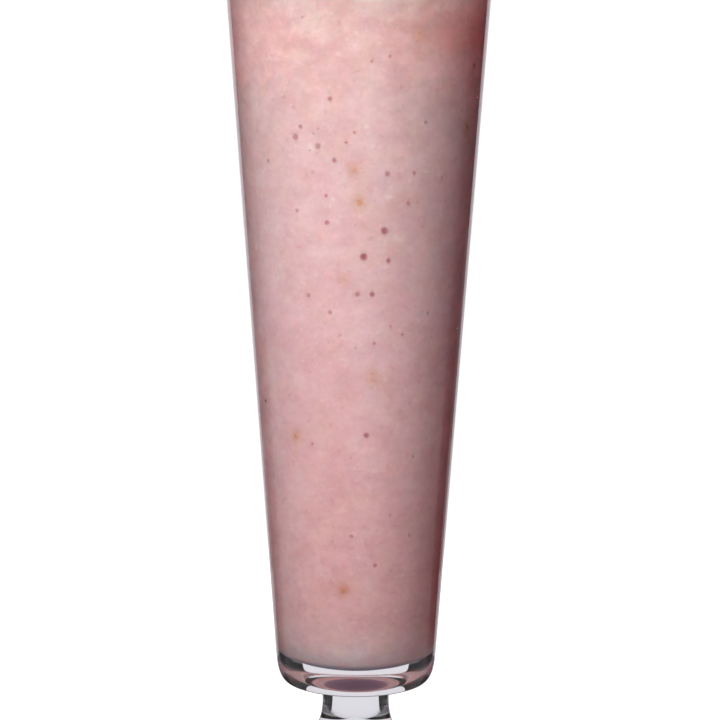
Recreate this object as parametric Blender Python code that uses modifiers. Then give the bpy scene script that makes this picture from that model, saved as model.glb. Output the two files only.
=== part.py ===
"""A raspberry smoothie in its tall footed glass.

Two solids, in metres, with +Z up and the origin under the middle of the foot, on the table:

- glass: one turned piece of clear glass, with a tapered bowl, a thick heel, a short stem and a foot
- smoothie: the drink, which fills the bowl up to a little below the rim

Both are turned about Z. A profile runs down the piece's outer side, from top to bottom, and a Screw
modifier spins it.
"""

import math

import bpy

# ---- Driving dimensions, in metres ----
GLASS_HEIGHT = 0.2400
RIM_RADIUS = 0.0374
HEEL_RADIUS = 0.02217  # where the bowl's outer line would meet the plane of the heel's lowest ring
HEEL_BOTTOM = 0.0306  # height of the heel's lowest ring over the table
HEEL_TURN_WIDTH = 0.0030  # the heel turns under in a quarter of an ellipse, this wide
HEEL_TURN_HEIGHT = 0.0080  # and this high
UNDERSIDE_SLOPE = math.radians(12)  # how steeply the underside climbs from its lowest ring to the neck

RIM_WALL = 0.0018  # wall thickness at the rim
HEEL_WALL = 0.0027  # wall thickness where the bowl's floor curves up
FLOOR_HEIGHT = 0.0361  # height of the lowest point of the bowl's inside, on the axis
FLOOR_RADIUS = 0.0480  # radius of the floor's wide curve, round a centre on the axis
FLOOR_ROUND = 0.0100  # radius of the tighter curve between the floor and the wall

STEM_RADIUS = 0.0095
NECK_ROUND = 0.0036  # fillet between the heel's underside and the stem
FOOT_RADIUS = 0.0345
FOOT_EDGE = 0.0024  # thickness of the foot at its edge
FOOT_RISE = 0.0030  # how much the foot's upper side climbs before the stem's flare
FLARE_RADIUS = 0.0185  # the concave curve from the stem out to the foot
REST_RING = 0.0050  # width of the flat ring that the foot stands on
FOOT_HOLLOW = 0.0011  # depth of the shallow hollow under the foot

DRINK_LEVEL = 0.2290  # height of the drink's surface over the table
DRINK_GAP = 0.0003  # clearance between the drink and the glass
MENISCUS_RISE = 0.0011  # how far the drink's edge climbs the wall
MENISCUS_WIDTH = 0.0042
DRINK_DOME = 0.0016  # how much the drink's middle stands over its flat level

TURNED_STEPS = 72
ARC_STEP = math.radians(15)
TINY = 1e-5


def taper():
    """How fast the bowl's outer side widens, as radius over height."""
    return (RIM_RADIUS - HEEL_RADIUS) / (GLASS_HEIGHT - HEEL_BOTTOM)


def outer_radius(z):
    """The bowl's outer radius at height z."""
    return HEEL_RADIUS + taper() * (z - HEEL_BOTTOM)


def wall_at(z):
    """The wall's thickness at height z, which falls evenly towards the rim."""
    share = (z - HEEL_BOTTOM) / (GLASS_HEIGHT - HEEL_BOTTOM)
    return HEEL_WALL + (RIM_WALL - HEEL_WALL) * share


def inner_radius(z):
    """The bowl's inner radius at height z."""
    return outer_radius(z) - wall_at(z)


def arc(centre, radius, start, end):
    """Points (r, z) on an arc, from the start angle to the end angle, both in radians."""
    count = max(3, math.ceil(abs(end - start) / ARC_STEP))
    angles = [start + (end - start) * i / count for i in range(count + 1)]
    return [(centre[0] + radius * math.cos(a), centre[1] + radius * math.sin(a)) for a in angles]


def floor_curve(gap=0.0):
    """Points (r, z) of the bowl's inside, from the middle of its floor to the start of its straight wall.

    A wide arc round a centre on the axis runs into a tighter one, and that runs into the wall. The tight
    arc's centre is where it touches both: FLOOR_ROUND from the wall, and FLOOR_ROUND inside the wide arc.
    gap moves the line inwards, which gives the drink's own underside."""
    slope = taper() + (HEEL_WALL - RIM_WALL) / (GLASS_HEIGHT - HEEL_BOTTOM)
    wide_z = FLOOR_HEIGHT + FLOOR_RADIUS
    offset = inner_radius(0.0) - FLOOR_ROUND * math.hypot(1.0, slope)
    a = 1 + slope ** 2
    b = 2 * (offset * slope - wide_z)
    c = offset ** 2 + wide_z ** 2 - (FLOOR_RADIUS - FLOOR_ROUND) ** 2
    centre_z = (-b - math.sqrt(b ** 2 - 4 * a * c)) / (2 * a)
    centre_r = offset + slope * centre_z
    meet = math.atan2(centre_z - wide_z, centre_r)
    wide = arc((0.0, wide_z), FLOOR_RADIUS - gap, -math.pi / 2, meet)
    return wide[:-1] + arc((centre_r, centre_z), FLOOR_ROUND - gap, meet, -math.atan(slope))


def heel_curve():
    """Points (r, z) down the outside of the bowl's heel, from the straight wall to the underside."""
    lean = math.atan(taper())
    out = math.hypot(HEEL_TURN_WIDTH * math.cos(lean), HEEL_TURN_HEIGHT * math.sin(lean))
    centre_z = HEEL_BOTTOM + HEEL_TURN_HEIGHT
    centre_r = outer_radius(centre_z) - out / math.cos(lean)
    start = -math.atan(taper() * HEEL_TURN_HEIGHT / HEEL_TURN_WIDTH)
    end = -math.pi / 2 - math.atan(math.tan(UNDERSIDE_SLOPE) * HEEL_TURN_WIDTH / HEEL_TURN_HEIGHT)
    turn = arc((0.0, 0.0), 1.0, start, end)
    return [(centre_r + HEEL_TURN_WIDTH * x, centre_z + HEEL_TURN_HEIGHT * y) for x, y in turn]


def neck_curve():
    """Points (r, z) on the fillet between the heel's climbing underside and the stem."""
    ring_r, ring_z = heel_curve()[-1]
    centre_r = STEM_RADIUS + NECK_ROUND
    above = ring_z + (ring_r - centre_r) * math.tan(UNDERSIDE_SLOPE)
    centre_z = above - NECK_ROUND / math.cos(UNDERSIDE_SLOPE)
    return arc((centre_r, centre_z), NECK_ROUND, math.pi / 2 - UNDERSIDE_SLOPE, math.pi)


def foot_curve():
    """Points (r, z) from the foot of the stem out over the foot and back under it to the axis."""
    slope = math.atan2(FOOT_RISE, FOOT_RADIUS - STEM_RADIUS - FLARE_RADIUS)
    flare_centre = (STEM_RADIUS + FLARE_RADIUS, FOOT_EDGE + FOOT_RISE + FLARE_RADIUS)
    flare = arc(flare_centre, FLARE_RADIUS, math.pi, 1.5 * math.pi - slope)
    half = FOOT_EDGE / 2
    edge = arc((FOOT_RADIUS - half, half), half, math.pi / 2 - slope, -math.pi / 2)
    ring = FOOT_RADIUS - half - REST_RING
    hollow = [
        (ring * share, FOOT_HOLLOW * (1 - share ** 2) ** 0.5)
        for share in (0.97, 0.85, 0.6, 0.3, 0.0)
    ]
    return flare + edge + [(ring, 0.0)] + hollow


def rim_curve():
    """Points (r, z) over the rounded rim, from the inner wall to the outer wall."""
    half = RIM_WALL / 2
    return arc((RIM_RADIUS - half, GLASS_HEIGHT - half), half, math.pi, 0.0)


def glass_profile():
    """The glass's whole section: up the bowl's inside, over the rim and down the outer side to the axis."""
    return floor_curve() + rim_curve() + heel_curve() + neck_curve() + foot_curve()


def surface_curve():
    """Points (r, z) over the drink's top, from the axis to the wall: a low dome that rises again at the glass."""
    edge = inner_radius(DRINK_LEVEL + MENISCUS_RISE) - DRINK_GAP
    foot = edge - MENISCUS_WIDTH
    dome = [
        (foot * share, DRINK_LEVEL + DRINK_DOME * (1 - share ** 2) ** 1.5)
        for share in (0.0, 0.2, 0.4, 0.6, 0.8, 0.92)
    ]
    climb = [
        (foot + MENISCUS_WIDTH * share, DRINK_LEVEL + MENISCUS_RISE * share ** 3)
        for share in (0.0, 0.35, 0.6, 0.8, 1.0)
    ]
    return dome + climb


def drink_profile():
    """The drink's whole section: out over its top, down the wall and in along the floor."""
    return surface_curve() + floor_curve(DRINK_GAP)[::-1]


def turned(name, profile, material, collection):
    """Makes one object by spinning a profile of (r, z) points about Z."""
    mesh = bpy.data.meshes.new(name)
    points = [(0.0 if r < TINY else r, 0.0, z) for r, z in profile]
    edges = [(i, i + 1) for i in range(len(points) - 1)]
    mesh.from_pydata(points, edges, [])
    mesh.materials.append(material)
    obj = bpy.data.objects.new(name, mesh)
    collection.objects.link(obj)
    spin = obj.modifiers.new("Spin", "SCREW")
    spin.axis = "Z"
    spin.steps = TURNED_STEPS
    spin.render_steps = TURNED_STEPS
    spin.use_merge_vertices = True
    spin.merge_threshold = TINY
    spin.use_smooth_shade = True
    return obj


def principled(name, colour, roughness, transmission=0.0):
    """A plain Principled material."""
    material = bpy.data.materials.new(name)
    material.use_nodes = True
    shader = material.node_tree.nodes["Principled BSDF"]
    shader.inputs["Base Color"].default_value = (*colour, 1.0)
    shader.inputs["Roughness"].default_value = roughness
    shader.inputs["Metallic"].default_value = 0.0
    shader.inputs["Transmission Weight"].default_value = transmission
    shader.inputs["IOR"].default_value = 1.5
    return material


def main():
    for old in list(bpy.data.objects):
        bpy.data.objects.remove(old)
    parts = bpy.data.collections.new("raspberry_smoothie")
    bpy.context.scene.collection.children.link(parts)
    clear = principled("clear_glass", (0.95, 0.97, 0.97), 0.02, transmission=1.0)
    pink = principled("smoothie_pink", (0.72, 0.42, 0.40), 0.35)
    turned("glass", glass_profile(), clear, parts)
    turned("smoothie", drink_profile(), pink, parts)


main()
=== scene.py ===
# %% [markdown]
# # A raspberry smoothie in its footed glass
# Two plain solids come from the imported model: the glass and the drink in it. This lesson gives them their
# looks. The glass is spun again with hundreds of sides, so that it bends light smoothly. The drink gets its
# bubbles, its seeds and its froth. Everything is in metres, and stands where the solids stand.

# %% Load the two solids
import math
import random

import bmesh
import bpy
from mathutils import Matrix, Vector, kdtree, noise


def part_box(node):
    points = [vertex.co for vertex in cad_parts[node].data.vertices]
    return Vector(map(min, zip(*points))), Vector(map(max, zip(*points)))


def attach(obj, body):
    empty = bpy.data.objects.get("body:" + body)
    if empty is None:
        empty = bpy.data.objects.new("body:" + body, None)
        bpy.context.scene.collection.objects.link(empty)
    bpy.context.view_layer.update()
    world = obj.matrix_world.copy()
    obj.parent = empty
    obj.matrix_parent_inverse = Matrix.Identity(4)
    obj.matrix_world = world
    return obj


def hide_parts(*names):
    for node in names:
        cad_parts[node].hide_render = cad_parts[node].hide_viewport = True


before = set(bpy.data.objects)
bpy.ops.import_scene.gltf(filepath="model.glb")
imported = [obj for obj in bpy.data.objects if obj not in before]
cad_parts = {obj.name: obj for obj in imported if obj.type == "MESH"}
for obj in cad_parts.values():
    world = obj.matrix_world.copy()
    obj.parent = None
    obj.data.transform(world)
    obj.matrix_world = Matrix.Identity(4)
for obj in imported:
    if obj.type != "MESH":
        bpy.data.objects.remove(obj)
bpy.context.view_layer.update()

MM = 0.001
glass_low, glass_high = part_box("glass")
drink_low, drink_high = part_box("smoothie")
print("glass", glass_low, glass_high)
print("drink", drink_low, drink_high)

# %% [markdown]
# ## The camera
# The glass is looked at from a little above, through a long lens, so its sides stay nearly straight. A
# camera is easiest to place by what it aims at: a point on the glass's axis, a distance, and the angle it
# looks down. It is turned by a quarter of a degree, because a camera held by hand is never quite level.

# %% Aim the camera
LENS_MM = 120.0
SENSOR_MM = 36.0
AIM_HEIGHT = 122.2 * MM
DISTANCE = 672.0 * MM
LOOKS_DOWN = math.radians(8.5)
TURNED_BY = 0.0047
OFF_AXIS = 0.78 * MM

camera_data = bpy.data.cameras.new("long_lens")
camera_data.lens = LENS_MM
camera_data.sensor_width = SENSOR_MM
camera_data.clip_start = 10 * MM
camera = bpy.data.objects.new("camera", camera_data)
bpy.context.scene.collection.objects.link(camera)
back = Vector((0.0, -math.cos(LOOKS_DOWN), math.sin(LOOKS_DOWN)))
place = Vector((OFF_AXIS, 0.0, AIM_HEIGHT)) + DISTANCE * back
level = (-back).to_track_quat("-Z", "Y").to_matrix().to_4x4()
camera.matrix_world = Matrix.Translation(place) @ level @ Matrix.Rotation(TURNED_BY, 4, "Z")
bpy.context.scene.camera = camera
print("camera at", place)

# %% [markdown]
# ## A way to write materials
# A material is a web of nodes. Wiring them by hand is long, so one small class wraps a socket and lets
# Python's own operators add the maths nodes. One more makes any other node from its type, its settings and
# what goes into its sockets.

# %% Sockets as numbers
class Value:
    """One output socket in a material, which adds, subtracts, multiplies and divides like a number."""

    def __init__(self, recipe, socket):
        self.recipe = recipe
        self.socket = socket

    def maths(self, operation, *others):
        return self.recipe.node("ShaderNodeMath", {"operation": operation}, dict(enumerate(others)))

    def __add__(self, other):
        return self.maths("ADD", self, other)

    def __radd__(self, other):
        return self.maths("ADD", other, self)

    def __sub__(self, other):
        return self.maths("SUBTRACT", self, other)

    def __rsub__(self, other):
        return self.maths("SUBTRACT", other, self)

    def __mul__(self, other):
        return self.maths("MULTIPLY", self, other)

    def __rmul__(self, other):
        return self.maths("MULTIPLY", other, self)

    def __truediv__(self, other):
        return self.maths("DIVIDE", self, other)

    def __rtruediv__(self, other):
        return self.maths("DIVIDE", other, self)


# %% A material under construction
class Recipe:
    """A material that is being wired: each method adds a node or two and gives back its output."""

    def __init__(self, name):
        self.material = bpy.data.materials.new(name)
        self.material.use_nodes = True
        self.tree = self.material.node_tree
        self.tree.nodes.clear()

    def node(self, kind, settings=None, sockets=None, output=0):
        """Adds a node: its settings first, then the values or links of its sockets."""
        node = self.tree.nodes.new(kind)
        for name, setting in (settings or {}).items():
            if name == "stops":
                self.set_stops(node.color_ramp, setting)
            else:
                setattr(node, name, setting)
        for name, value in (sockets or {}).items():
            if isinstance(value, Value):
                self.tree.links.new(value.socket, node.inputs[name])
            else:
                node.inputs[name].default_value = value
        return Value(self, node.outputs[output]) if node.outputs else node

    def set_stops(self, ramp, stops):
        """Gives a ramp its stops, as (place, colour)."""
        while len(ramp.elements) < len(stops):
            ramp.elements.new(1.0)
        for element, (place_on_ramp, colour) in zip(ramp.elements, stops):
            element.position = place_on_ramp
            element.color = (*colour, 1.0)

    def mix(self, share, first, second, blend="MIX"):
        """The first colour where share is 0, and where it is 1 the second, or their blend."""
        settings = {"data_type": "RGBA", "blend_type": blend}
        return self.node("ShaderNodeMix", settings, {0: share, 6: first, 7: second}, 2)

    def tinted(self, share, colour, tint):
        """The colour as it is where share is 0, and multiplied by the tint where it is 1."""
        return self.mix(share, colour, (*tint, 1.0), "MULTIPLY")

    def vector(self, operation, first, second):
        """Maths on two vectors."""
        return self.node("ShaderNodeVectorMath", {"operation": operation}, {0: first, 1: second})

    def length(self, vector):
        """How long a vector is."""
        return self.node("ShaderNodeVectorMath", {"operation": "LENGTH"}, {0: vector}, 1)

    def part(self, vector, axis):
        """A vector's own X, Y or Z."""
        return self.node("ShaderNodeSeparateXYZ", {}, {"Vector": vector}, axis)

    def place(self):
        """Where a point lies on its piece, in metres."""
        return self.node("ShaderNodeTexCoord", {}, {}, "Object")

    def painted(self, name):
        """A number that is kept at each corner of the mesh."""
        return self.node("ShaderNodeAttribute", {"attribute_name": name}, {}, "Fac")

    def noise(self, where, size, detail=2.0, roughness=0.5):
        """Cloudy noise from 0 to 1, whose clouds are about size across."""
        sockets = {"Vector": where, "Scale": 1 / size, "Detail": detail, "Roughness": roughness}
        return self.node("ShaderNodeTexNoise", {}, sockets, "Fac")

    def between(self, value, low, high):
        """0 where value is low, 1 where it is high, and smooth in between."""
        settings = {"interpolation_type": "SMOOTHSTEP"}
        return self.node("ShaderNodeMapRange", settings, {0: value, 1: low, 2: high, 3: 0.0, 4: 1.0})

    def finish(self, shader):
        """Wires the shader to the material's output."""
        self.node("ShaderNodeOutputMaterial", {}, {"Surface": shader})
        return self.material


# %% [markdown]
# ## The glass
# A glass like this is pressed, or blown in a turning mould, so every level cut through it is a circle. In
# Blender such a shape is a line spun round the axis. The line is the section of the real thing: up the
# inside, over the fire-polished rim, down the outside, round the heavy heel, down the short stem and out
# over the foot. Clear glass shows each facet as a kink in what is seen through it, so the spin takes 256
# steps where the solid has 72.

# %% The glass's measures
GLASS_HEIGHT = glass_high.z
RIM_RADIUS = glass_high.x
HEEL_RADIUS = 22.17 * MM
HEEL_BOTTOM = 30.6 * MM
HEEL_TURN_WIDTH = 3.0 * MM
HEEL_TURN_HEIGHT = 8.0 * MM
UNDERSIDE_SLOPE = math.radians(12)
RIM_WALL = 1.8 * MM
HEEL_WALL = 2.7 * MM
FLOOR_HEIGHT = 36.1 * MM
FLOOR_RADIUS = 48.0 * MM
FLOOR_ROUND = 10.0 * MM
STEM_RADIUS = 9.5 * MM
NECK_ROUND = 3.6 * MM
FOOT_RADIUS = 34.5 * MM
FOOT_EDGE = 2.4 * MM
FOOT_RISE = 3.0 * MM
FLARE_RADIUS = 18.5 * MM
REST_RING = 5.0 * MM
FOOT_HOLLOW = 1.1 * MM
GLASS_STEPS = 256
FINE_TURN = math.radians(3)
SMALL_TURN = math.radians(15)
HOLLOW_ROWS = 15
TAPER = (RIM_RADIUS - HEEL_RADIUS) / (GLASS_HEIGHT - HEEL_BOTTOM)
LEAN = math.atan(TAPER)
INNER_TAPER = TAPER + (HEEL_WALL - RIM_WALL) / (GLASS_HEIGHT - HEEL_BOTTOM)
INNER_LEAN = math.atan(INNER_TAPER)
print("the bowl leans outwards by", round(math.degrees(LEAN), 2), "degrees")


# %% Radii and arcs
def outer_radius(z):
    """The bowl's outer radius at height z."""
    return HEEL_RADIUS + TAPER * (z - HEEL_BOTTOM)


def inner_radius(z):
    """The bowl's inner radius at height z: the wall thins evenly towards the rim."""
    share = (z - HEEL_BOTTOM) / (GLASS_HEIGHT - HEEL_BOTTOM)
    return outer_radius(z) - (HEEL_WALL + (RIM_WALL - HEEL_WALL) * share)


def arc(centre, radius, start, end, step=math.radians(5)):
    """Points (r, z) on an arc, from the start angle to the end angle."""
    count = max(2, math.ceil(abs(end - start) / step))
    angles = [start + (end - start) * i / count for i in range(count + 1)]
    return [(centre[0] + radius * math.cos(a), centre[1] + radius * math.sin(a)) for a in angles]


# %% The inside of the bowl
def floor_curve(reach=0.0):
    """The bowl's inside from the middle of its floor to its straight wall, moved into the glass by reach.

    It is a wide arc round a centre on the axis, then a tighter one that runs into the wall. The tight arc's
    centre is where it touches both: at FLOOR_ROUND from the wall, and inside the wide arc by FLOOR_ROUND."""
    wide_z = FLOOR_HEIGHT + FLOOR_RADIUS
    offset = inner_radius(0.0) - FLOOR_ROUND / math.cos(INNER_LEAN)
    a = 1 + INNER_TAPER ** 2
    b = 2 * (offset * INNER_TAPER - wide_z)
    c = offset ** 2 + wide_z ** 2 - (FLOOR_RADIUS - FLOOR_ROUND) ** 2
    centre_z = (-b - math.sqrt(b ** 2 - 4 * a * c)) / (2 * a)
    centre_r = offset + INNER_TAPER * centre_z
    meet = math.atan2(centre_z - wide_z, centre_r)
    wide = arc((0.0, wide_z), FLOOR_RADIUS + reach, -math.pi / 2, meet)
    return wide[:-1] + arc((centre_r, centre_z), FLOOR_ROUND + reach, meet, -INNER_LEAN)


# %% The heel and its neck
def heel_curve():
    """The outside of the heel, from the straight wall to the underside: a quarter of a tall ellipse."""
    out = math.hypot(HEEL_TURN_WIDTH * math.cos(LEAN), HEEL_TURN_HEIGHT * math.sin(LEAN))
    centre_z = HEEL_BOTTOM + HEEL_TURN_HEIGHT
    centre_r = outer_radius(centre_z) - out / math.cos(LEAN)
    start = -math.atan(TAPER * HEEL_TURN_HEIGHT / HEEL_TURN_WIDTH)
    end = -math.pi / 2 - math.atan(math.tan(UNDERSIDE_SLOPE) * HEEL_TURN_WIDTH / HEEL_TURN_HEIGHT)
    turn = arc((0.0, 0.0), 1.0, start, end, FINE_TURN)
    return [(centre_r + HEEL_TURN_WIDTH * x, centre_z + HEEL_TURN_HEIGHT * y) for x, y in turn]


def neck_curve():
    """The fillet between the underside, which climbs inwards, and the stem."""
    ring_r, ring_z = heel_curve()[-1]
    centre_r = STEM_RADIUS + NECK_ROUND
    above = ring_z + (ring_r - centre_r) * math.tan(UNDERSIDE_SLOPE)
    centre_z = above - NECK_ROUND / math.cos(UNDERSIDE_SLOPE)
    return arc((centre_r, centre_z), NECK_ROUND, math.pi / 2 - UNDERSIDE_SLOPE, math.pi)


# %% The foot and the rim
def foot_curve():
    """From the foot of the stem out over the foot and back under it to the axis."""
    slope = math.atan2(FOOT_RISE, FOOT_RADIUS - STEM_RADIUS - FLARE_RADIUS)
    flare_centre = (STEM_RADIUS + FLARE_RADIUS, FOOT_EDGE + FOOT_RISE + FLARE_RADIUS)
    flare = arc(flare_centre, FLARE_RADIUS, math.pi, 1.5 * math.pi - slope)
    half = FOOT_EDGE / 2
    edge = arc((FOOT_RADIUS - half, half), half, math.pi / 2 - slope, -math.pi / 2, SMALL_TURN)
    ring = FOOT_RADIUS - half - REST_RING
    shares = [math.cos(math.pi / 2 * i / HOLLOW_ROWS) for i in range(1, HOLLOW_ROWS + 1)]
    hollow = [(ring * s, FOOT_HOLLOW * math.sqrt(1 - s ** 2)) for s in shares]
    return flare + edge + [(ring, 0.0)] + hollow


def rim_curve():
    """Over the rounded rim, from the inner wall to the outer one."""
    half = RIM_WALL / 2
    return arc((RIM_RADIUS - half, GLASS_HEIGHT - half), half, math.pi, 0.0, SMALL_TURN)


glass_section = floor_curve() + rim_curve() + heel_curve() + neck_curve() + foot_curve()
print("the glass's section has", len(glass_section), "points")

# %% Spin the glass
MERGE_WITHIN = 0.002 * MM


def spin_line(shape, section, steps, start=0.0, angle=2 * math.pi):
    """Spins a line of (r, z) points round the Z axis, from the start angle on, and closes a full turn."""
    turned = Matrix.Rotation(start, 4, "Z")
    corners = [shape.verts.new(turned @ Vector((max(r, 0.0), 0.0, z))) for r, z in section]
    edges = [shape.edges.new(pair) for pair in zip(corners, corners[1:])]
    bmesh.ops.spin(
        shape, geom=corners + edges, cent=(0, 0, 0), axis=(0, 0, 1), angle=angle, steps=steps,
        use_merge=angle == 2 * math.pi,
    )


def linked(name, shape):
    """Makes an object of a mesh under construction."""
    mesh = bpy.data.meshes.new(name)
    shape.to_mesh(mesh)
    shape.free()
    mesh.shade_smooth()
    piece = bpy.data.objects.new(name, mesh)
    bpy.context.scene.collection.objects.link(piece)
    return piece


def spun(name, section, steps):
    """Spins a line of (r, z) points into one closed piece."""
    shape = bmesh.new()
    spin_line(shape, section, steps)
    bmesh.ops.remove_doubles(shape, verts=shape.verts[:], dist=MERGE_WITHIN)
    bmesh.ops.recalc_face_normals(shape, faces=shape.faces[:])
    return linked(name, shape)


clear_glass = spun("footed_glass", glass_section, GLASS_STEPS)
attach(clear_glass, "root")
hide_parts("glass")
print("glass faces", len(clear_glass.data.polygons))

# %% [markdown]
# ## What the glass is made of
# Soda-lime glass bends light by an index of about 1.52, and a thick piece of it takes away a few hundredths
# of the light, which shows in the heel as grey. Lamps would not reach the drink through refracting glass
# without very many samples, so the glass throws no shadow.

# %% Clear glass
GLASS_TINT = (0.975, 0.97, 0.98, 1.0)
GLASS_INDEX = 1.52


def make_clear_glass():
    """Glass that bends what is seen through it."""
    recipe = Recipe("clear_glass")
    shader = recipe.node("ShaderNodeBsdfPrincipled", {}, {
        "Base Color": GLASS_TINT,
        "Roughness": 0.0,
        "IOR": GLASS_INDEX,
        "Transmission Weight": 1.0,
    })
    return recipe.finish(shader)


clear_glass.data.materials.append(make_clear_glass())
clear_glass.visible_shadow = False
print("the glass bends light by", GLASS_INDEX)

# %% [markdown]
# ## The drink
# The drink wets the glass, so there is no air between them. Its mesh reaches a little into the wall: light
# that enters the glass then meets the drink directly, as it does in the real thing, and no false gap shows.
# The body is spun like the glass. Its top is a low dome that climbs again where it clings to the wall, and
# a blended drink never settles flat, so noise lifts and lowers the top by half a millimetre.

# %% The drink's section
REACH = 0.15 * MM
DRINK_LEVEL = 229.0 * MM
MENISCUS_RISE = 1.1 * MM
MENISCUS_WIDTH = 4.2 * MM
DRINK_DOME = 1.6 * MM
DOME_ROWS = 36
CLIMB_ROWS = 8
WALL_ROW = 1.5 * MM


def surface_curve():
    """Over the drink's top, from the axis to the wall: a low dome that climbs again at the glass."""
    edge = inner_radius(DRINK_LEVEL + MENISCUS_RISE) + REACH
    foot = edge - MENISCUS_WIDTH
    outwards = [i / DOME_ROWS for i in range(DOME_ROWS)]
    dome = [(foot * s, DRINK_LEVEL + DRINK_DOME * (1 - s ** 2) ** 1.5) for s in outwards]
    upwards = [i / CLIMB_ROWS for i in range(CLIMB_ROWS + 1)]
    climb = [(foot + MENISCUS_WIDTH * s, DRINK_LEVEL + MENISCUS_RISE * s ** 3) for s in upwards]
    return dome + climb


def wall_rows(top, bottom):
    """Points down the straight wall, strictly between two ends."""
    count = round((top[1] - bottom[1]) / WALL_ROW)
    return [tuple(a + (b - a) * i / count for a, b in zip(top, bottom)) for i in range(1, count)]


# %% The drink's body
WAVES = [(9 * MM, 0.0, 0.55), (3 * MM, 0.05, 0.22)]
STILL_EDGE = 3 * MM


def clamped(value):
    """The value itself between 0 and 1, and the nearer of the two outside them."""
    return min(1.0, max(0.0, value))


def roughen_top(mesh):
    """Lifts and lowers the drink's top by noise, and leaves its line on the wall alone.

    Each wave has its size, its own layer of the noise and its height in millimetres."""
    edge = inner_radius(DRINK_LEVEL)
    for vertex in mesh.vertices:
        x, y, z = vertex.co
        if z > DRINK_LEVEL - 0.01 * MM:
            free = clamped((edge - math.hypot(x, y)) / STILL_EDGE)
            lift = sum(high * noise.noise(Vector((x, y, layer)) / size) for size, layer, high in WAVES)
            vertex.co.z += free * lift * MM


top_line = surface_curve()
floor_line = floor_curve(REACH)[::-1]
drink = spun("drink", top_line + wall_rows(top_line[-1], floor_line[0]) + floor_line, GLASS_STEPS)
roughen_top(drink.data)
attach(drink, "root")
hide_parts("smoothie")
print("drink faces before the bubbles", len(drink.data.polygons))

# %% [markdown]
# ## Bubbles
# Blending whips air into the fruit. A bubble that rests against the glass shows as a small round pit with a
# redder heart: light gets in, bounces between the pink walls and comes out deeper in colour. The drink wets
# the glass, so its film thins out towards the bubble and the pit's edge is soft. So each bubble is a real
# dimple, cut with a plug whose section is a bell curve, not with a plain ball, which leaves a hard rim.
# Those on the front are placed one by one, by bearing from the front, height, width and depth. The rest of
# the wall gets its own by chance, about as many to the square centimetre, and never two in one place.

# %% Bubbles on the front
FRONT_BUBBLES = [
    (-28, 188.7, 1.4, 0.35), (-31, 186, 2.1, 0.33), (-19.4, 183.7, 2, 0.34), (-19.1, 188.3, 0.8, 0.2),
    (-21.1, 186.9, 0.7, 0.17), (-23.5, 182.5, 0.7, 0.15), (-11.3, 180.1, 1.5, 0.3), (-5.6, 184.8, 1.1, 0.28),
    (-1.7, 187.4, 0.9, 0.23), (-13, 196.2, 1.4, 0.3), (-48.8, 179.2, 1.2, 0.3), (-31.4, 193.8, 1.6, 0.1),
    (-36.3, 196.4, 1.5, 0.1), (6.1, 206, 1.1, 0.15), (14.1, 207.4, 1, 0.2), (33.4, 189.9, 1.3, 0.3),
    (14.5, 176.5, 1.7, 0.33), (28.3, 176.6, 1.3, 0.2), (45.6, 175, 1.2, 0.2), (-22.2, 176.8, 1.2, 0.1),
    (-15.7, 170.6, 1, 0.25), (-31.7, 166.3, 1.3, 0.25), (-15.4, 163.4, 1.5, 0.33), (13.7, 161.3, 2.2, 0.55),
    (3.1, 154.4, 2.3, 0.57), (16.3, 153.2, 1.6, 0.4), (26, 168.5, 1.4, 0.25), (7.9, 144.3, 1.6, 0.4),
    (0.1, 144.3, 1.6, 0.25), (-26.8, 143.6, 1.3, 0.25), (-25.1, 217.3, 0.7, 0.17), (-14.7, 139.2, 1.4, 0.25),
    (-9.2, 133, 1.1, 0.15), (9.4, 130.8, 1, 0.25), (25.7, 133, 1.1, 0.2), (41.6, 138.4, 1.3, 0.2),
    (18.7, 135.4, 1.1, 0.15), (-0.8, 129.8, 0.7, 0.15), (-27.7, 122.5, 0.8, 0.1), (-27.8, 102.6, 1, 0.2),
    (5.7, 105.5, 1.7, 0.42), (-3.7, 99.2, 0.6, 0.15), (37, 98.9, 1.2, 0.2), (32.5, 113.9, 1.2, 0.1),
    (-3.2, 77.2, 1.2, 0.3), (-15.7, 75.4, 1.1, 0.1), (22.3, 82.8, 1.1, 0.15), (37.8, 76.6, 1.7, 0.15),
    (13, 68.8, 1.3, 0.33),
]
print("bubbles placed one by one", len(FRONT_BUBBLES))

# %% Bubbles by chance
BUBBLE_COUNT = 235
BUBBLE_HEIGHTS = (46, 220)
BUBBLE_ROOM = 0.5 * MM
FRONT_HALF = 62
FRONT_WIDTHS = (0.3, 0.5)
LEAST_WIDTH = 0.5
MOST_WIDTH = 2.2
WIDE_ARE_RARE = 1.6
DEPTH_SHARES = (0.05, 0.25)
chance = random.Random(11)


def wall_point(bearing, height):
    """A point on the drink's wall, by its bearing from the front in degrees and its height in metres."""
    turn = math.radians(bearing)
    radius = inner_radius(height) + REACH
    return Vector((radius * math.sin(turn), -radius * math.cos(turn), height))


def apart(spots, point, room_around):
    """Whether a point keeps clear of all spots, each a (point, half its width)."""
    return all((point - other).length > half + room_around for other, half in spots)


def bubble_by_chance():
    """A bubble's bearing, height, width and depth. On the front only small ones come by chance."""
    bearing = chance.uniform(-180, 180)
    height = chance.uniform(*BUBBLE_HEIGHTS) * MM
    if abs(bearing) < FRONT_HALF:
        width = chance.uniform(*FRONT_WIDTHS) * MM
    else:
        width = min(MOST_WIDTH, LEAST_WIDTH + chance.expovariate(WIDE_ARE_RARE)) * MM
    return bearing, height, width, width * chance.uniform(*DEPTH_SHARES)


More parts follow.
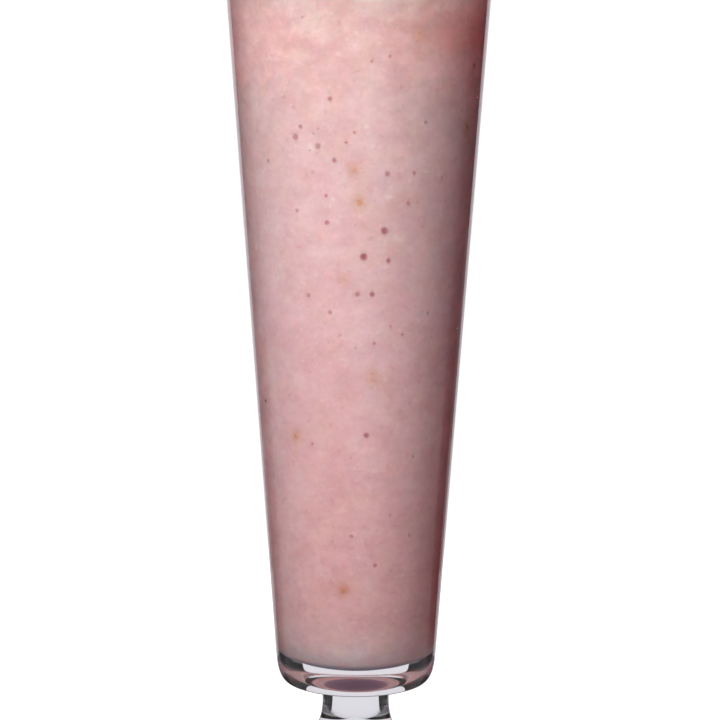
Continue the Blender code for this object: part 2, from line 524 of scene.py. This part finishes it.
pits = [(bearing, height * MM, width * MM, depth * MM) for bearing, height, width, depth in FRONT_BUBBLES]
taken = [(wall_point(bearing, height), width / 2) for bearing, height, width, _ in pits]
while len(pits) < BUBBLE_COUNT:
    pit = bubble_by_chance()
    point = wall_point(pit[0], pit[1])
    if apart(taken, point, pit[2] / 2 + BUBBLE_ROOM):
        pits.append(pit)
        taken.append((point, pit[2] / 2))
print("bubbles on the wall", len(pits))

# %% A plug for each bubble
PLUG_LIP = 0.04 * MM
PLUG_TOP = 0.3 * MM
LARGE_BUBBLE = 0.8 * MM


def wall_frame(bearing, height):
    """A placing on the drink's wall, with Z out into the glass and Y up the wall."""
    turn = math.radians(bearing)
    outwards = Vector((math.sin(turn), -math.cos(turn), -INNER_TAPER))
    axes = outwards.to_track_quat("Z", "Y").to_matrix().to_4x4()
    return Matrix.Translation(wall_point(bearing, height)) @ axes


def add_plug(shape, placing, width, depth):
    """Adds a plug that is width wide where it passes the wall, and depth deep in its middle."""
    whole = depth + PLUG_LIP
    edge = width / 2 * (math.pi / 2) / math.acos(math.sqrt(PLUG_LIP / whole))
    rings, sides = (7, 26) if width > LARGE_BUBBLE else (4, 14)
    shares = [i / rings for i in range(rings + 1)]
    section = [(edge * s, PLUG_LIP - whole * math.cos(math.pi / 2 * s) ** 2) for s in shares]
    plug = bmesh.new()
    spin_line(plug, section + [(edge, PLUG_TOP), (0.0, PLUG_TOP)], sides)
    bmesh.ops.remove_doubles(plug, verts=plug.verts[:], dist=MERGE_WITHIN)
    bmesh.ops.transform(plug, matrix=placing, verts=plug.verts[:])
    mesh = bpy.data.meshes.new("one_plug")
    plug.to_mesh(mesh)
    plug.free()
    shape.from_mesh(mesh)
    bpy.data.meshes.remove(mesh)


plug_shape = bmesh.new()
for bearing, height, width, depth in pits:
    add_plug(plug_shape, wall_frame(bearing, height), width, depth)
bmesh.ops.recalc_face_normals(plug_shape, faces=plug_shape.faces[:])
plugs = linked("bubble_plugs", plug_shape)
print("plug faces", len(plugs.data.polygons))

# %% Cut the bubbles
cut = drink.modifiers.new("bubbles", "BOOLEAN")
cut.operation = "DIFFERENCE"
cut.solver = "EXACT"
cut.object = plugs
cut_mesh = bpy.data.meshes.new_from_object(drink.evaluated_get(bpy.context.evaluated_depsgraph_get()))
drink.modifiers.remove(cut)
drink.data = cut_mesh
bpy.data.objects.remove(plugs)
cut_mesh.shade_smooth()
print("drink faces after the bubbles", len(cut_mesh.polygons))

# %% [markdown]
# A heart's deeper red comes from light that has bounced round in the pit, which would take many samples. It
# is quicker to paint it: a number is kept at each corner of the mesh, 0 outside the pits and up to 1 in the
# heart of one. The deeper a pit is, the stronger its heart. A tree of points finds each corner's nearest
# bubble quickly. A second number marks the drink's underside, which shows only through the heavy heel. There
# it later gets painted shade: a darker, more purple tint for the little light that reaches it.

# %% Paint the hearts
FULL_HEART = 0.42 * MM
HEART_REACH = 0.60
HEART_SOFT = 0.65
UNDERSIDE_FROM = 0.8
UNDERSIDE_SPAN = 0.12


def paint(mesh, name, spots, soft):
    """Keeps at each corner how strongly the nearest spot marks it. Spots are (point, reach, strength).

    soft is the share of the reach over which the mark fades out."""
    tree = kdtree.KDTree(len(spots))
    for index, spot in enumerate(spots):
        tree.insert(spot[0], index)
    tree.balance()
    marks = mesh.attributes.new(name, "FLOAT", "POINT")
    for vertex in mesh.vertices:
        _, index, away = tree.find(vertex.co)
        _, reach, strength = spots[index]
        fade = clamped((1 - away / reach) / soft)
        marks.data[vertex.index].value = strength * fade * fade * (3 - 2 * fade)


hearts = []
for bearing, height, width, depth in pits:
    hearts.append((wall_point(bearing, height), HEART_REACH * width, min(1.0, depth / FULL_HEART)))
paint(cut_mesh, "bubble_heart", hearts, HEART_SOFT)
# This mark carries painted shade: it darkens the drink's underside later.
underside = cut_mesh.attributes.new("underside", "FLOAT", "POINT")
for vertex in cut_mesh.vertices:
    mark = clamped((-vertex.normal.z - UNDERSIDE_FROM) / UNDERSIDE_SPAN)
    underside.data[vertex.index].value = mark
print("the deepest bubble in mm", max(depth for _, _, _, depth in pits) / MM)

# %% [markdown]
# ## Seeds
# Raspberry seeds are tan, two to three millimetres long and netted like a tiny peach stone. The blender
# leaves most of them whole. One that touches the glass shows as a soft tan spot: a film of pink lies over
# its rim, and round it the seed tints the drink it shines through. So each seed stands out of the drink and
# into the glass's wall, by a fifth of a millimetre at most. The drink round it is painted in the same way as
# the hearts of the bubbles, more strongly the further the seed stands out.

# %% The seeds
FRONT_SEEDS = [
    (27.9, 213.2, 30, 0.06), (-1.9, 177.6, 80, 0.11), (0.6, 168.8, 10, 0.17), (-7.0, 148.4, 85, 0.05),
    (9.0, 122.4, 0, 0.06), (8.8, 120.9, 60, 0.05), (-39.1, 104.3, 70, 0.13), (-8.3, 61.8, 40, 0.18),
]
SEED_COUNT = 27
SEED_HEIGHTS = (50, 218)
SEED_STANDS_OUT = (0.05, 0.19)
SEED_ROOM = 2 * MM
SEED_SIZE = Vector((2.7, 2.1, 1.3)) * MM
SEED_NARROWS = 0.22
SEED_UNEVEN = 0.05


def add_seed(shape, placing, turn, proud):
    """Adds a seed with its flat side to the wall, its length turned by turn degrees and its back proud."""
    placing = placing @ Matrix.Rotation(math.radians(turn), 4, "Z")
    sunk = Vector((0, 0, proud - SEED_SIZE.z / 2))
    made = bmesh.ops.create_icosphere(shape, subdivisions=4, radius=0.5)["verts"]
    for vertex in made:
        bump = 1 + SEED_UNEVEN * noise.noise(vertex.co * 9 + placing.translation * 1000)
        point = vertex.co * (1 - SEED_NARROWS * vertex.co.x) * bump
        vertex.co = placing @ (point * SEED_SIZE + sunk)


seeds = [(bearing, height * MM, turn, proud * MM) for bearing, height, turn, proud in FRONT_SEEDS]
while len(seeds) < SEED_COUNT:
    bearing = chance.uniform(FRONT_HALF, 360 - FRONT_HALF)
    height = chance.uniform(*SEED_HEIGHTS) * MM
    if apart(taken, wall_point(bearing, height), SEED_ROOM):
        seeds.append((bearing, height, chance.uniform(0, 180), chance.uniform(*SEED_STANDS_OUT) * MM))
        taken.append((wall_point(bearing, height), 1.5 * MM))
seed_shape = bmesh.new()
for bearing, height, turn, proud in seeds:
    add_seed(seed_shape, wall_frame(bearing, height), turn, proud)
seed_piece = linked("seeds", seed_shape)
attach(seed_piece, "root")
print("seeds", len(seeds), "faces", len(seed_piece.data.polygons))

# %% Paint the seeds' tint
TINT_REACH = 3.5 * MM
LEAST_TINT = 0.45
TINT_PER_MM = 2.8

tints = []
for bearing, height, _, proud in seeds:
    tints.append((wall_point(bearing, height), TINT_REACH, LEAST_TINT + TINT_PER_MM * proud / MM))
for mesh in (cut_mesh, seed_piece.data):
    paint(mesh, "seed_tint", tints, 1.0)
print("the strongest tint", max(strength for _, _, strength in tints))

# %% [markdown]
# ## Froth
# The air that rises gathers on top, most of it along the wall. There it stays as a loose ring of small
# domes, each a thin skin of drink over a bubble, so paler and glossier than the drink itself.

# %% Where the domes are
DOME_COUNT = 330
LEAST_HALF = 0.3
MOST_HALF = 1.7
LARGE_ARE_RARE = 3.0
SHARE_AT_WALL = 0.75
WALL_SPREAD = 3.2
TOP_SPREAD = 32
CLOSEST = 0.86

domes = []
while len(domes) < DOME_COUNT:
    half = min(MOST_HALF, LEAST_HALF + chance.expovariate(LARGE_ARE_RARE)) * MM
    at_wall = chance.random() < SHARE_AT_WALL
    from_wall = abs(chance.gauss(0, WALL_SPREAD)) if at_wall else chance.uniform(0, TOP_SPREAD)
    radius = inner_radius(DRINK_LEVEL) - half - from_wall * MM
    turn = chance.uniform(0, 2 * math.pi)
    point = Vector((radius * math.cos(turn), radius * math.sin(turn), 0.0))
    free = all((point - other).length > CLOSEST * (half + other_half) for other, other_half in domes)
    if radius >= 1 * MM and free:
        domes.append((point, half))
print("domes of froth", len(domes))

# %% Set the domes on the drink
DOME_SUNK = 0.25
DOME_FLAT = 0.8

froth_shape = bmesh.new()
for point, half in domes:
    above = Vector((point.x, point.y, GLASS_HEIGHT + 20 * MM))
    _, on_top, _, _ = drink.ray_cast(above, Vector((0, 0, -1)))
    centre = on_top - Vector((0, 0, DOME_SUNK * half))
    placing = Matrix.Translation(centre) @ Matrix.Diagonal((1, 1, DOME_FLAT, 1))
    bmesh.ops.create_icosphere(froth_shape, subdivisions=2, radius=half, matrix=placing)
froth = linked("froth", froth_shape)
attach(froth, "root")
print("faces of froth", len(froth.data.polygons))

# %% [markdown]
# ## What the drink is made of
# Fruit, milk and air make a cloudy body: light enters it, scatters and leaves again nearby, red light
# farthest. That is subsurface scattering, and it is what turns the shaded side a deeper pink than the lit
# one. Its radius says how far each colour wanders: here nearly five centimetres for red, one for the rest.
# The colour isn't even. It is paler towards the top, where the air goes. In the lowest few millimetres it is
# painted brighter: painted light, standing in for the light that comes in through the heel. Everywhere it is
# mottled with cream and pink, in clouds of a few millimetres that the stirring has drawn out sideways. Noise
# makes those. Streaks of fruit and smears of air are single things, so each is a soft spot of its own, with
# a ragged border. A few more such spots, high on the sides, are painted light: they brighten the drink near
# the top, where the scattered light falls short.
# Against glass the drink has no skin of its own to shine, so its side has no gloss. Its top has.

# %% The drink's colour
BASE_LOW = 40 * MM
BASE_HIGH = 225 * MM
# The first four stops are painted light: the lowest few millimetres are brighter, standing in for light that
# comes in through the heel.
BASE_AND_PAINTED_LIGHT_STOPS = [
    (0.00, (0.950, 0.620, 0.630)), (0.02, (0.850, 0.525, 0.535)), (0.03, (0.770, 0.465, 0.472)),
    (0.05, (0.700, 0.415, 0.420)), (0.25, (0.682, 0.424, 0.432)), (0.57, (0.695, 0.470, 0.477)),
    (0.80, (0.715, 0.500, 0.497)), (1.00, (0.730, 0.500, 0.482)),
]


def base_colour_and_painted_light(recipe, height):
    """The plain colour from the drink's lower end to its top, with painted light in its lowest few
    millimetres.
    """
    share = (height - BASE_LOW) / (BASE_HIGH - BASE_LOW)
    return recipe.node("ShaderNodeValToRGB", {"stops": BASE_AND_PAINTED_LIGHT_STOPS}, {"Fac": share})


# %% Its mottling
DRAWN_OUT = (1.0, 1.0, 1.25)
CLOUD_SIZE = 11 * MM
PATCH_SIZE = 4.5 * MM
PULP_SIZE = 1.6 * MM
CREAM_SIZE = 6 * MM
FLECK_SIZE = 2 * MM
PALE_CLOUD = (1.06, 1.13, 1.12)
RED_PATCH = (0.93, 0.89, 0.90)
PULP = (0.955, 0.95, 0.95)
CREAM = (1.0, 1.01, 0.95)
PALE_FLECK = (1.05, 1.10, 1.09)
RED_FLECK = (0.95, 0.90, 0.90)


def clouds_and_patches(recipe, where):
    """Two noises that are used more than once: large clouds, and smaller patches."""
    drawn_out = recipe.vector("MULTIPLY", where, DRAWN_OUT)
    clouds = recipe.noise(drawn_out, CLOUD_SIZE, 3.0, 0.6)
    patches = recipe.noise(recipe.vector("ADD", drawn_out, (0.3, 0.1, 0.7)), PATCH_SIZE, 3.0, 0.65)
    return clouds, patches


def mottled(recipe, colour, where, clouds, patches):
    """The colour with its clouds, patches and pulp, each from a noise of its own."""
    pulp = recipe.noise(recipe.vector("ADD", where, (0.9, 0.4, 0.2)), PULP_SIZE, 2.0, 0.6)
    colour = recipe.tinted(recipe.between(clouds, 0.30, 0.70), colour, PALE_CLOUD)
    colour = recipe.tinted(recipe.between(patches, 0.32, 0.68), colour, RED_PATCH)
    return recipe.tinted(recipe.between(pulp, 0.30, 0.70), colour, PULP)


def flecked(recipe, colour, where):
    """The colour with broad creamy parts, and with single pale and red flecks."""
    cream = recipe.noise(recipe.vector("ADD", where, (0.2, 0.8, 0.5)), CREAM_SIZE, 2.0, 0.5)
    colour = recipe.tinted(recipe.between(cream, 0.4, 0.7), colour, CREAM)
    flecks = recipe.noise(recipe.vector("ADD", where, (0.6, 0.1, 0.3)), FLECK_SIZE, 1.0, 0.5)
    colour = recipe.tinted(recipe.between(flecks, 0.66, 0.74), colour, PALE_FLECK)
    return recipe.tinted(recipe.between(flecks, 0.33, 0.27), colour, RED_FLECK)


# %% Its wisps near the top
WISP_SIZE = 12 * MM
WISP_WAVE = 12 * MM
DRAWN_FAR = (1.0, 1.0, 4.0)
WISPS_LOW = 195 * MM
WISPS_HIGH = 212 * MM
WISP = (0.97, 0.93, 0.93)


def wispy(recipe, colour, where, height, clouds):
    """The colour with flat, waving wisps in the drink's upper part."""
    waving = recipe.node("ShaderNodeCombineXYZ", {}, {"Z": (clouds - 0.5) * WISP_WAVE})
    drawn_far = recipe.vector("MULTIPLY", recipe.vector("ADD", where, waving), DRAWN_FAR)
    wisps = recipe.between(recipe.noise(drawn_far, WISP_SIZE, 2.0, 0.5), 0.35, 0.65)
    return recipe.tinted(wisps * recipe.between(height, WISPS_LOW, WISPS_HIGH), colour, WISP)


# %% Its streaks of fruit, smears of air and spots of painted light
# The redder and the pale tints are painted light: they brighten the sides near the top, where the scattering
# loses light. The fruit and airy tints are the drink's own colour.
FRUIT = (1.0, 0.84, 0.83)
REDDER_PAINTED_LIGHT = (1.15, 1.04, 1.04)
AIRY = (1.05, 1.13, 1.10)
PALE_PAINTED_LIGHT = (1.18, 1.30, 1.27)
STREAKS_AND_PAINTED_LIGHT = [
    (55, 214, 16, FRUIT), (66, 212, 38, REDDER_PAINTED_LIGHT), (-74, 212, 34, REDDER_PAINTED_LIGHT), (150, 206, 9, FRUIT),
    (-120, 196, 10, FRUIT), (-165, 120, 9, FRUIT), (58, 224, 17, PALE_PAINTED_LIGHT),
]
SMEARS = [
    (-17, 214.5, 10), (-28, 207.0, 6), (-21.3, 183.5, 3.1), (-34.0, 180.9, 1.4), (-12.6, 169.7, 1.4),
    (3.8, 188.8, 1.4), (15.3, 170.3, 1.4), (21.7, 159.4, 2.9), (14.4, 151.6, 1.4), (-0.2, 136.9, 1.0),
    (1.3, 143.3, 1.4), (17.5, 95.5, 1.4), (-9.0, 84.3, 1.8), (-19.6, 81.0, 1.8), (33.0, 65.4, 1.4),
    (-1.1, 52.4, 1.2), (8.4, 47.9, 1.2), (18.8, 49.0, 1.2),
]
SPOT_SHAPE = (1.0, 1.0, 1.8)
RAGGED = 0.9
SPOT_CORE = 0.3


def streaked_and_painted_light(recipe, colour, where, patches):
    """The colour with each streak, smear and spot of painted light: bearing, height, reach (both in
    millimetres) and tint.
    """
    for bearing, level, reach, tint in STREAKS_AND_PAINTED_LIGHT + [(*smear, AIRY) for smear in SMEARS]:
        heart = wall_point(bearing, level * MM)
        offset = recipe.vector("SUBTRACT", where, tuple(heart))
        away = recipe.length(recipe.vector("MULTIPLY", offset, SPOT_SHAPE))
        ragged = away + (patches - 0.5) * (reach * RAGGED * MM)
        colour = recipe.tinted(recipe.between(ragged, reach * MM, reach * SPOT_CORE * MM), colour, tint)
    return colour


# %% The whole colour
SEED_TINT = (0.90, 0.82, 0.62)
FROTH_LINE = (0.78, 0.64, 0.56, 1)
FROTH_LOW = 224.2 * MM
FROTH_HIGH = 226 * MM
FROTH_WAVE = 4 * MM
FROTH_STEP = 3 * MM
STEP_FROM = -14 * MM
STEP_TO = 2 * MM


def froth_line(recipe, where, height, clouds):
    """1 in the froth at the drink's edge, 0 under it. It hangs in waves, and lower on the +X side."""
    step = recipe.between(recipe.part(where, "X"), STEP_FROM, STEP_TO) * FROTH_STEP
    return recipe.between(height + (clouds - 0.5) * FROTH_WAVE + step, FROTH_LOW, FROTH_HIGH)


def drink_colour(recipe, where):
    """The drink's colour anywhere on its outside."""
    height = recipe.part(where, "Z")
    clouds, patches = clouds_and_patches(recipe, where)
    colour = mottled(recipe, base_colour_and_painted_light(recipe, height), where, clouds, patches)
    colour = wispy(recipe, colour, where, height, clouds)
    colour = flecked(recipe, colour, where)
    colour = streaked_and_painted_light(recipe, colour, where, patches)
    colour = recipe.tinted(recipe.painted("seed_tint"), colour, SEED_TINT)
    return recipe.mix(froth_line(recipe, where, height, clouds), colour, FROTH_LINE)


# %% The drink's side
HEART_TINT = (0.67, 0.50, 0.54)
# Painted shade for the drink's underside, which is seen through the heel.
UNDERSIDE_SHADE = (0.42, 0.56, 0.72)
SCATTER = (48 * MM, 10 * MM, 10 * MM)


def scattering(recipe, colour, settings):
    """The drink's cloudy body in any colour."""
    sockets = {
        "Base Color": colour,
        "Roughness": 0.5,
        "Specular IOR Level": 0.0,
        "Subsurface Weight": 1.0,
        "Subsurface Radius": SCATTER,
        "Subsurface Scale": 1.0,
    }
    return recipe.node("ShaderNodeBsdfPrincipled", {}, {**sockets, **settings})


def make_drink_side():
    """The drink where it lies against the glass, with painted shade on its underside."""
    recipe = Recipe("smoothie")
    colour = drink_colour(recipe, recipe.place())
    colour = recipe.tinted(recipe.painted("bubble_heart"), colour, HEART_TINT)
    colour = recipe.tinted(recipe.painted("underside"), colour, UNDERSIDE_SHADE)
    return recipe.finish(scattering(recipe, colour, {}))


# %% The drink's top and froth
FOAM_DARK = (0.66, 0.46, 0.43, 1)
FOAM_PALE = (0.76, 0.60, 0.55, 1)
DOME_DARK = (0.70, 0.50, 0.46, 1)
DOME_PALE = (0.80, 0.66, 0.61, 1)


def make_drink_top():
    """The drink's open top, which is wet, full of tiny bubbles and uneven."""
    recipe = Recipe("smoothie_top")
    foam = recipe.noise(recipe.place(), 1.2 * MM, 3.0, 0.7)
    colour = recipe.mix(recipe.between(foam, 0.3, 0.7), FOAM_DARK, FOAM_PALE)
    bump = recipe.node("ShaderNodeBump", {}, {"Strength": 0.5, "Distance": 0.3 * MM, "Height": foam})
    shine = {"Specular IOR Level": 0.4, "Roughness": 0.28, "Normal": bump}
    return recipe.finish(scattering(recipe, colour, shine))


def make_froth():
    """The wet skin of a dome. It is too thin to scatter, so its light stays where it falls."""
    recipe = Recipe("froth")
    colour = recipe.mix(recipe.noise(recipe.place(), 2.5 * MM, 2.0, 0.5), DOME_DARK, DOME_PALE)
    shine = {"Specular IOR Level": 0.5, "Roughness": 0.12, "Subsurface Weight": 0.0}
    return recipe.finish(scattering(recipe, colour, shine))


# %% The seeds' colour
SEED_BARE = (0.86, 0.72, 0.55)
BARE_FROM = 0.02 * MM
BARE_TO = -0.16 * MM


def under_wall(recipe, where):
    """How far a point lies under the drink's smooth wall. Over it, the number is negative."""
    from_axis = recipe.length(recipe.vector("MULTIPLY", where, (1.0, 1.0, 0.0)))
    return recipe.part(where, "Z") * INNER_TAPER + (inner_radius(0.0) + REACH) - from_axis


def make_seed():
    """The drink's own colour, and tan where the seed stands out of it."""
    recipe = Recipe("seed")
    where = recipe.place()
    bare = recipe.between(under_wall(recipe, where), BARE_FROM, BARE_TO)
    colour = recipe.tinted(bare, drink_colour(recipe, where), SEED_BARE)
    return recipe.finish(scattering(recipe, colour, {"Subsurface Weight": 0.0}))


# %% Give the pieces their materials
TOP_BAND = 0.8 * MM
FACES_UP = 0.3

drink.data.materials.clear()
drink.data.materials.append(make_drink_side())
drink.data.materials.append(make_drink_top())
for polygon in drink.data.polygons:
    on_top = polygon.center.z > DRINK_LEVEL - TOP_BAND and polygon.normal.z > FACES_UP
    polygon.material_index = int(on_top)
seed_piece.data.materials.append(make_seed())
froth.data.materials.append(make_froth())
print("faces on top", sum(polygon.material_index for polygon in drink.data.polygons))

# %% [markdown]
# ## The studio
# The glass stands on a pale table in a white room. Clear glass is readable by what its edges bend into
# view, so it has surroundings of its own, which the camera doesn't see. Behind it a backdrop is white only
# as far as thirty degrees to each side, and dark from there on: every round edge of the glass turns dark,
# and the middle of the heel and of the stem stays bright. In the dark, beside the backdrop, lie narrow
# strips of pale floor, brightest near the glass, and each side of it bends them into one thin light line.
# The floor in front and the room round it all are grey. Each of these screens glows by itself, which is
# simpler than lighting it. Cycles would take them all for lamps and spend its samples on them, so that is
# turned off.

# %% Stage pieces
def glowing(name, strength, colour=(1, 1, 1)):
    """A material that gives an even light."""
    recipe = Recipe(name)
    shader = recipe.node("ShaderNodeEmission", {}, {"Color": (*colour, 1), "Strength": strength})
    return recipe.finish(shader)


def staged(name, shape, material):
    """A piece of the stage, which is never sampled as a lamp."""
    piece = linked(name, shape)
    material.cycles.emission_sampling = "NONE"
    piece.data.materials.append(material)
    return piece


def hide_from(piece, *kinds):
    """Hides a piece from some kinds of ray, such as camera or glossy."""
    for kind in kinds:
        setattr(piece, f"visible_{kind}", False)


def room(name, radius, material):
    """A ball round everything, whose inside is seen."""
    shape = bmesh.new()
    bmesh.ops.create_uvsphere(shape, u_segments=64, v_segments=32, radius=radius)
    bmesh.ops.reverse_faces(shape, faces=shape.faces[:])
    return staged(name, shape, material)


# %% What the camera sees
ROOM_RADIUS = 3.0
TABLE_GLOW = 0.97
WALL_GLOW = 1.05


def make_table():
    """A pale, matt table that glows, so that it fades into the white room."""
    recipe = Recipe("pale_table")
    shader = recipe.node("ShaderNodeBsdfPrincipled", {}, {
        "Base Color": (0.85, 0.85, 0.85, 1),
        "Roughness": 0.6,
        "Specular IOR Level": 0.2,
        "Emission Color": (1, 1, 1, 1),
        "Emission Strength": TABLE_GLOW,
    })
    return recipe.finish(shader)


table_shape = bmesh.new()
bmesh.ops.create_circle(table_shape, cap_ends=True, radius=ROOM_RADIUS, segments=96)
table = staged("table", table_shape, make_table())
bright_room = room("bright_room", ROOM_RADIUS, glowing("white_wall", WALL_GLOW))
for piece in (table, bright_room):
    hide_from(piece, "diffuse", "glossy", "transmission")
print("the white room is", 2 * ROOM_RADIUS, "metres wide")

# %% What the glass sees
UNDER_TABLE = -0.05 * MM
OVER_SCREENS = 0.02 * MM
NEAREST = 0.1 * MM
SCREEN_STEPS = 24


def sector(name, bearing, half_width, near, far, height, material):
    """A screen for the glass: a strip of floor from near to far, and an upright wall at its far end.

    bearing runs from +Y towards +X, and half_width goes to both sides of it."""
    shape = bmesh.new()
    section = [(near, UNDER_TABLE), (far, UNDER_TABLE), (far, height)]
    spin_line(shape, section, SCREEN_STEPS, math.pi / 2 - bearing - half_width, 2 * half_width)
    screen = staged(name, shape, material)
    hide_from(screen, "camera", "diffuse", "shadow")
    return screen


# %% Its backdrop, floor and room
BACK_HALF = math.radians(30)
DARK_HALF = math.radians(17)
STRIP_HALF = math.radians(5)
FRONT_FLOOR_HALF = math.radians(116)
SCREEN_FAR = 1.6
SCREEN_HEIGHT = 2.4
FRONT_FLOOR_FAR = 0.6
GREY_ROOM_RADIUS = ROOM_RADIUS * 0.98
FLOOR_STRIPS = [("near", 0.13, 0.24, 0.58), ("middle", 0.24, 0.5, 0.30), ("far", 0.5, 1.6, 0.13)]

white = glowing("backdrop_white", 0.82, (0.96, 0.95, 1))
sector("backdrop", 0.0, BACK_HALF, NEAREST, SCREEN_FAR, SCREEN_HEIGHT, white)
for side in (-1, 1):
    name = f"dark_{side}"
    bearing = side * (BACK_HALF + DARK_HALF)
    sector(name, bearing, DARK_HALF, NEAREST, SCREEN_FAR, SCREEN_HEIGHT, glowing(name, 0.015))
    for place, near, far, glow in FLOOR_STRIPS:
        name = f"{place}_floor_{side}"
        bearing = side * (BACK_HALF + STRIP_HALF)
        strip = sector(name, bearing, STRIP_HALF, near, far, 0.0, glowing(name, glow))
        strip.location.z = OVER_SCREENS
grey_floor = glowing("front_floor", 0.26)
sector("front_floor", math.pi, FRONT_FLOOR_HALF, NEAREST, FRONT_FLOOR_FAR, 0.0, grey_floor)
grey_room = room("grey_room", GREY_ROOM_RADIUS, glowing("grey_wall", 0.145, (1, 0.86, 1.05)))
hide_from(grey_room, "camera", "diffuse")
print("screens that only the glass sees", 4 + 2 * len(FLOOR_STRIPS))

# %% [markdown]
# ## Lights
# One tall, narrow lamp stands close to the glass, in front and a little to the left. Being close, it lights
# the middle of the drink far more than its sides, so the drink looks round. Two weak lamps at the sides, one
# bluish and one pinkish, keep those from turning black, and one behind lights the drink's back for whoever
# walks round it. The glass shows none of the lamps, because each would be a hard streak down its front.

# %% Lamps
LAMP_LOW = 0.02
LAMP_HIGH = 0.52
LAMPS = [
    ("key", -16.5, 0.14, 0.08, 0.455, (0.975, 1.03, 1.05)),
    ("side_fill", 112, 0.30, 0.10, 0.07, (0.30, 0.50, 0.72)),
    ("other_side_fill", -112, 0.30, 0.10, 0.11, (1.0, 0.65, 0.75)),
    ("back_fill", 172, 0.30, 0.20, 0.45, (1, 1, 1)),
]
WORLD_GLOW = 0.03


def strip_light(name, bearing, distance, width, power, colour):
    """An upright strip of light that faces the glass's axis. Its bearing runs from the front towards +X."""
    data = bpy.data.lights.new(name, "AREA")
    data.shape = "RECTANGLE"
    data.size = width
    data.size_y = LAMP_HIGH - LAMP_LOW
    data.energy = power
    data.color = colour
    lamp = bpy.data.objects.new(name, data)
    bpy.context.scene.collection.objects.link(lamp)
    turn = math.radians(bearing)
    at = Vector((distance * math.sin(turn), -distance * math.cos(turn), (LAMP_LOW + LAMP_HIGH) / 2))
    facing = Vector((-at.x, -at.y, 0)).to_track_quat("-Z", "Y").to_matrix().to_4x4()
    lamp.matrix_world = Matrix.Translation(at) @ facing
    hide_from(lamp, "camera", "glossy", "transmission")


for lamp in LAMPS:
    strip_light(*lamp)
world = bpy.data.worlds.new("world")
world.use_nodes = True
world.node_tree.nodes["Background"].inputs["Color"].default_value = (1, 1, 1, 1)
world.node_tree.nodes["Background"].inputs["Strength"].default_value = WORLD_GLOW
bpy.context.scene.world = world
bpy.context.scene.view_settings.view_transform = "Standard"
print("lamps", len(LAMPS))
